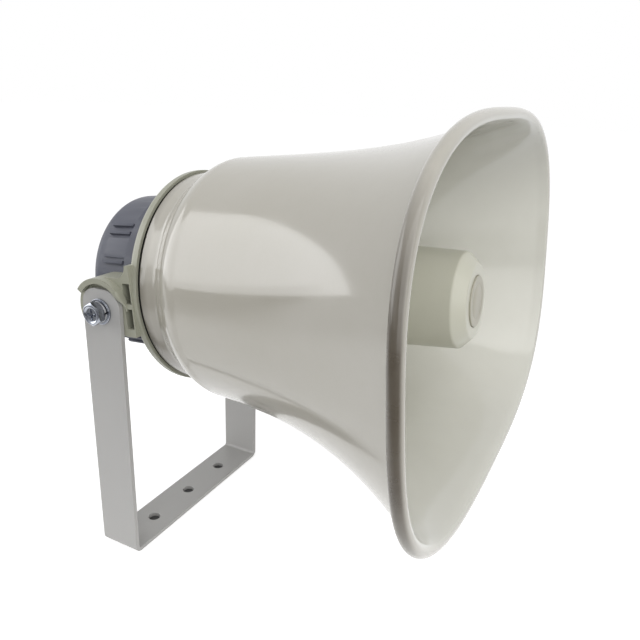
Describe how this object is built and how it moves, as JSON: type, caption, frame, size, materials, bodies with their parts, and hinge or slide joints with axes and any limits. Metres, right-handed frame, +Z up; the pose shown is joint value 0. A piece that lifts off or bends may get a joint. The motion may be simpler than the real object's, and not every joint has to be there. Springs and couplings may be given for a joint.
{
  "type": "horn loudspeaker",
  "caption": "Reflex horn loudspeaker with a flared rectangular bell, a centre reflector cup and a closed rear driver, tilting in a steel U bracket with a line of mounting holes",
  "frame": {"origin": "middle of the bracket underside, at the middle mounting hole, on the surface it is fixed to", "axes": "+X the way the horn points when level, +Y to the left seen from behind, +Z up from the mounting surface"},
  "size_m": [0.2725, 0.3098, 0.3022],
  "materials": {
    "bracket_paint": "satin light grey paint",
    "bell_abs": "glossy off-white moulding",
    "ring_abs": "satin greenish cream moulding",
    "horn_abs": "satin cream moulding",
    "cover_abs": "satin blue-grey moulding",
    "dark_rubber": "dull black",
    "black_plastic": "matt black",
    "phenolic": "amber phenolic cloth",
    "copper": null,
    "ferrite": null,
    "steel": "zinc plated steel",
    "bolt_steel": "bright zinc plated steel",
    "brass": "bright brass",
    "die_cast": "die-cast alloy"
  },
  "bodies": {
    "bracket": {"bracket": "bracket_paint"},
    "horn": {"bell": "bell_abs", "bell_gasket": "dark_rubber", "flange_ring": "ring_abs", "flange_screws": "steel", "throat_horn": "horn_abs", "reflector_cup": "horn_abs", "cup_screw": "steel", "cup_cap": "horn_abs", "driver_plate": "die_cast", "phase_plug": "black_plastic", "diaphragm": "phenolic", "voice_coil": "copper", "clamp_ring": "black_plastic", "top_plate": "steel", "magnet": "ferrite", "back_plate": "steel", "terminal_block": "black_plastic", "terminal_tabs": "brass", "driver_screws": "steel", "rear_cover": "cover_abs", "cover_seal": "dark_rubber", "cover_screws": "steel", "gland_body": "black_plastic", "gland_nut": "black_plastic", "gland_seal": "dark_rubber", "bolt_left": "bolt_steel", "bolt_right": "bolt_steel", "spring_washer_left": "steel", "spring_washer_right": "steel", "flat_washer_left": "bolt_steel", "flat_washer_right": "bolt_steel", "nut_left": "steel", "nut_right": "steel"}
  },
  "joints": [
    {"name": "tilt", "type": "hinge", "parent": "bracket", "child": "horn", "pos_m": [0, 0, 0.175], "axis": [0, -1, 0], "range_deg": [-25, 45]}
  ]
}
